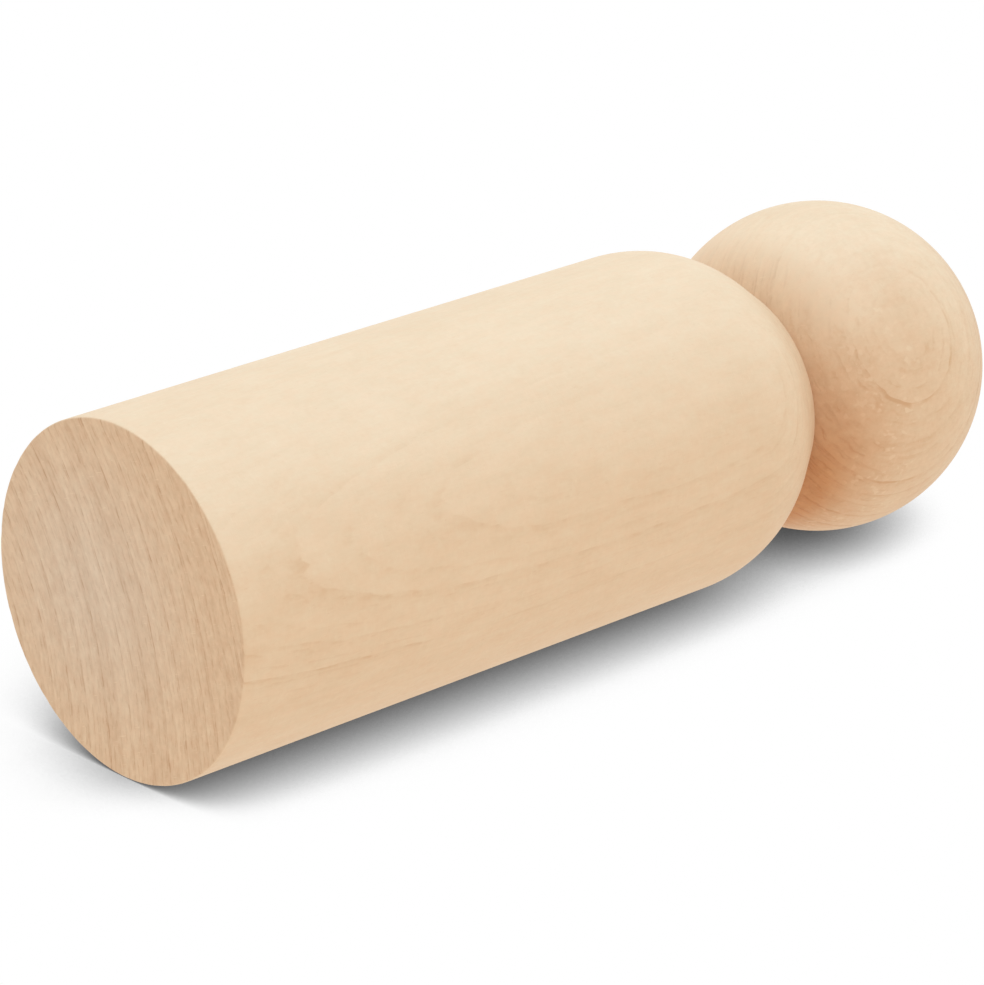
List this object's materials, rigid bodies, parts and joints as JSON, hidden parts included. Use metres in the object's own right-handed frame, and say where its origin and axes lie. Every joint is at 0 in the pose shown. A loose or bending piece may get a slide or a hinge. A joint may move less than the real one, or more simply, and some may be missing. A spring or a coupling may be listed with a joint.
{
  "type": "peg doll",
  "caption": "Turned wooden peg doll: a straight round body on a flat base, a shoulder that rounds over and slopes in to a crease under the ball of the head; bare pale wood, no face.",
  "frame": {"origin": "centre of the flat base that the doll stands on", "axes": "+Z along the turning axis, from the base up to the head"},
  "size_m": [0.0476, 0.0476, 0.1504],
  "materials": {
    "bare_wood": "bare, fine-sanded pale hardwood, unfinished, with slightly darker end grain on the base"
  },
  "bodies": {
    "root": {"peg_doll": "bare_wood"}
  },
  "joints": []
}
